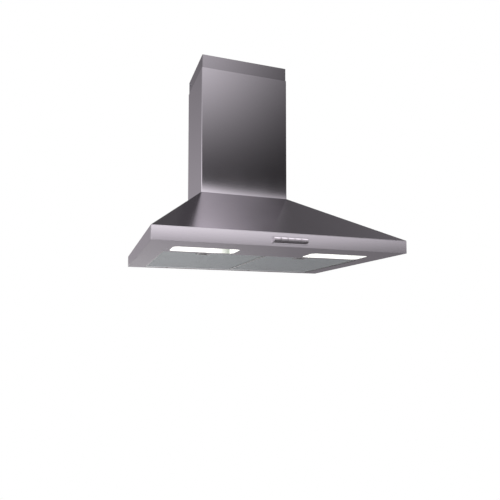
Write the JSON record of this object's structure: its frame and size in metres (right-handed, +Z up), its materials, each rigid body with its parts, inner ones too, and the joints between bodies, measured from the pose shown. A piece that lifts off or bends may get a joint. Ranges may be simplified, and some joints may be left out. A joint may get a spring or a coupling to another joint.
{
  "type": "wall mount range hood",
  "caption": "Wall mount pyramid range hood: folded steel canopy with lip buttons, lamps, hinged grease filters, centrifugal blower, damper collar and telescopic chimney.",
  "frame": {"origin": "on the wall plane, in the middle of the hood, level with the lip's lower edge", "axes": "+X to the right seen from the front, +Y into the wall, +Z up"},
  "size_m": [0.6, 0.499, 0.575],
  "materials": {
    "brushed_stainless": "brushed",
    "galvanised_steel": "galvanised",
    "filter_aluminium": "mill finish",
    "latch_plastic": "satin",
    "button_plastic": "metallised",
    "bezel_plastic": "metallised",
    "switch_plastic": "matt",
    "white_reflector": "gloss white",
    "lamp_glass": "frosted",
    "bulb_glass": "opal",
    "holder_plastic": "matt",
    "spring_steel": "bright",
    "scroll_plastic": "matt",
    "impeller_plastic": "matt",
    "shaft_steel": "ground",
    "motor_steel": "satin",
    "bronze": "sintered",
    "capacitor_plastic": "matt",
    "zinc_screws": "zinc plated"
  },
  "bodies": {
    "hood": {"back_panel": "galvanised_steel", "blower_bracket": "galvanised_steel", "blower_screws": "zinc_screws", "cable_gland": "switch_plastic", "canopy_shell": "brushed_stainless", "capacitor": "capacitor_plastic", "capacitor_clip": "galvanised_steel", "chimney_seat": "galvanised_steel", "damper_pin": "shaft_steel", "electric_screws": "zinc_screws", "lamp_bulb_left": "bulb_glass", "lamp_bulb_right": "bulb_glass", "lamp_holder_left": "holder_plastic", "lamp_holder_right": "holder_plastic", "lamp_housing_left": "white_reflector", "lamp_housing_right": "white_reflector", "lamp_lens_left": "lamp_glass", "lamp_lens_right": "lamp_glass", "lamp_screws": "zinc_screws", "light_panel": "brushed_stainless", "lower_chimney": "brushed_stainless", "motor_body": "motor_steel", "motor_bracket": "galvanised_steel", "motor_bushes": "bronze", "outlet_collar": "scroll_plastic", "plenum_plate": "galvanised_steel", "rear_rail": "brushed_stainless", "scroll_left_half": "scroll_plastic", "scroll_right_half": "scroll_plastic", "side_rail_left": "brushed_stainless", "side_rail_right": "brushed_stainless", "spring_light": "spring_steel", "spring_speed_1": "spring_steel", "spring_speed_2": "spring_steel", "spring_speed_3": "spring_steel", "spring_stop": "spring_steel", "switch_bezel": "bezel_plastic", "switch_block": "switch_plastic", "terminal_box": "switch_plastic", "terminal_box_lid": "switch_plastic"},
    "upper_chimney": {"upper_chimney": "brushed_stainless", "chimney_bracket": "galvanised_steel", "chimney_screws": "zinc_screws"},
    "impeller": {"impeller": "impeller_plastic", "motor_shaft": "shaft_steel"},
    "damper_front": {"damper_flap_front": "scroll_plastic"},
    "damper_rear": {"damper_flap_rear": "scroll_plastic"},
    "button_light": {"button_light": "button_plastic"},
    "button_stop": {"button_stop": "button_plastic"},
    "button_speed_1": {"button_speed_1": "button_plastic"},
    "button_speed_2": {"button_speed_2": "button_plastic"},
    "button_speed_3": {"button_speed_3": "button_plastic"},
    "filter_left": {"filter_frame_left": "filter_aluminium", "filter_mesh_left": "filter_aluminium", "latch_spring_left": "spring_steel"},
    "filter_latch_left": {"filter_latch_left": "latch_plastic"},
    "filter_right": {"filter_frame_right": "filter_aluminium", "filter_mesh_right": "filter_aluminium", "latch_spring_right": "spring_steel"},
    "filter_latch_right": {"filter_latch_right": "latch_plastic"}
  },
  "joints": [
    {"name": "upper_chimney_slide", "type": "slide", "parent": "hood", "child": "upper_chimney", "axis": [0, 0, 1], "range_m": [-0.015, 0.25]},
    {"name": "button_light_press", "type": "slide", "parent": "hood", "child": "button_light", "axis": [0, 1, 0], "range_m": [0, 0.004], "stiffness_N_per_m": 400, "springref_m": -0.003, "deforming": ["spring_light"]},
    {"name": "button_stop_press", "type": "slide", "parent": "hood", "child": "button_stop", "axis": [0, 1, 0], "range_m": [0, 0.004], "stiffness_N_per_m": 400, "springref_m": -0.003, "deforming": ["spring_stop"]},
    {"name": "button_speed_1_press", "type": "slide", "parent": "hood", "child": "button_speed_1", "axis": [0, 1, 0], "range_m": [0, 0.004], "stiffness_N_per_m": 400, "springref_m": -0.003, "deforming": ["spring_speed_1"]},
    {"name": "button_speed_2_press", "type": "slide", "parent": "hood", "child": "button_speed_2", "axis": [0, 1, 0], "range_m": [0, 0.004], "stiffness_N_per_m": 400, "springref_m": -0.003, "deforming": ["spring_speed_2"]},
    {"name": "button_speed_3_press", "type": "slide", "parent": "hood", "child": "button_speed_3", "axis": [0, 1, 0], "range_m": [0, 0.004], "stiffness_N_per_m": 400, "springref_m": -0.003, "deforming": ["spring_speed_3"]},
    {"name": "filter_left_tilt", "type": "hinge", "parent": "hood", "child": "filter_left", "pos_m": [-0.12635, -0.016, 0.005], "axis": [1, 0, 0], "range_deg": [0, 60]},
    {"name": "filter_left_latch", "type": "slide", "parent": "filter_left", "child": "filter_latch_left", "axis": [0, 1, 0], "range_m": [0, 0.0055], "stiffness_N_per_m": 500, "springref_m": -0.003, "deforming": ["latch_spring_left"]},
    {"name": "filter_right_tilt", "type": "hinge", "parent": "hood", "child": "filter_right", "pos_m": [0.12635, -0.016, 0.005], "axis": [1, 0, 0], "range_deg": [0, 60]},
    {"name": "filter_right_latch", "type": "slide", "parent": "filter_right", "child": "filter_latch_right", "axis": [0, 1, 0], "range_m": [0, 0.0055], "stiffness_N_per_m": 500, "springref_m": -0.003, "deforming": ["latch_spring_right"]},
    {"name": "impeller_spin", "type": "hinge", "parent": "hood", "child": "impeller", "pos_m": [0, -0.138, 0.11], "axis": [1, 0, 0], "continuous": true},
    {"name": "damper_front_swing", "type": "hinge", "parent": "hood", "child": "damper_front", "pos_m": [0, -0.089, 0.2283], "axis": [-1, 0, 0], "range_deg": [0, 75]},
    {"name": "damper_rear_swing", "type": "hinge", "parent": "hood", "child": "damper_rear", "pos_m": [0, -0.089, 0.2283], "axis": [1, 0, 0], "range_deg": [0, 75]}
  ]
}
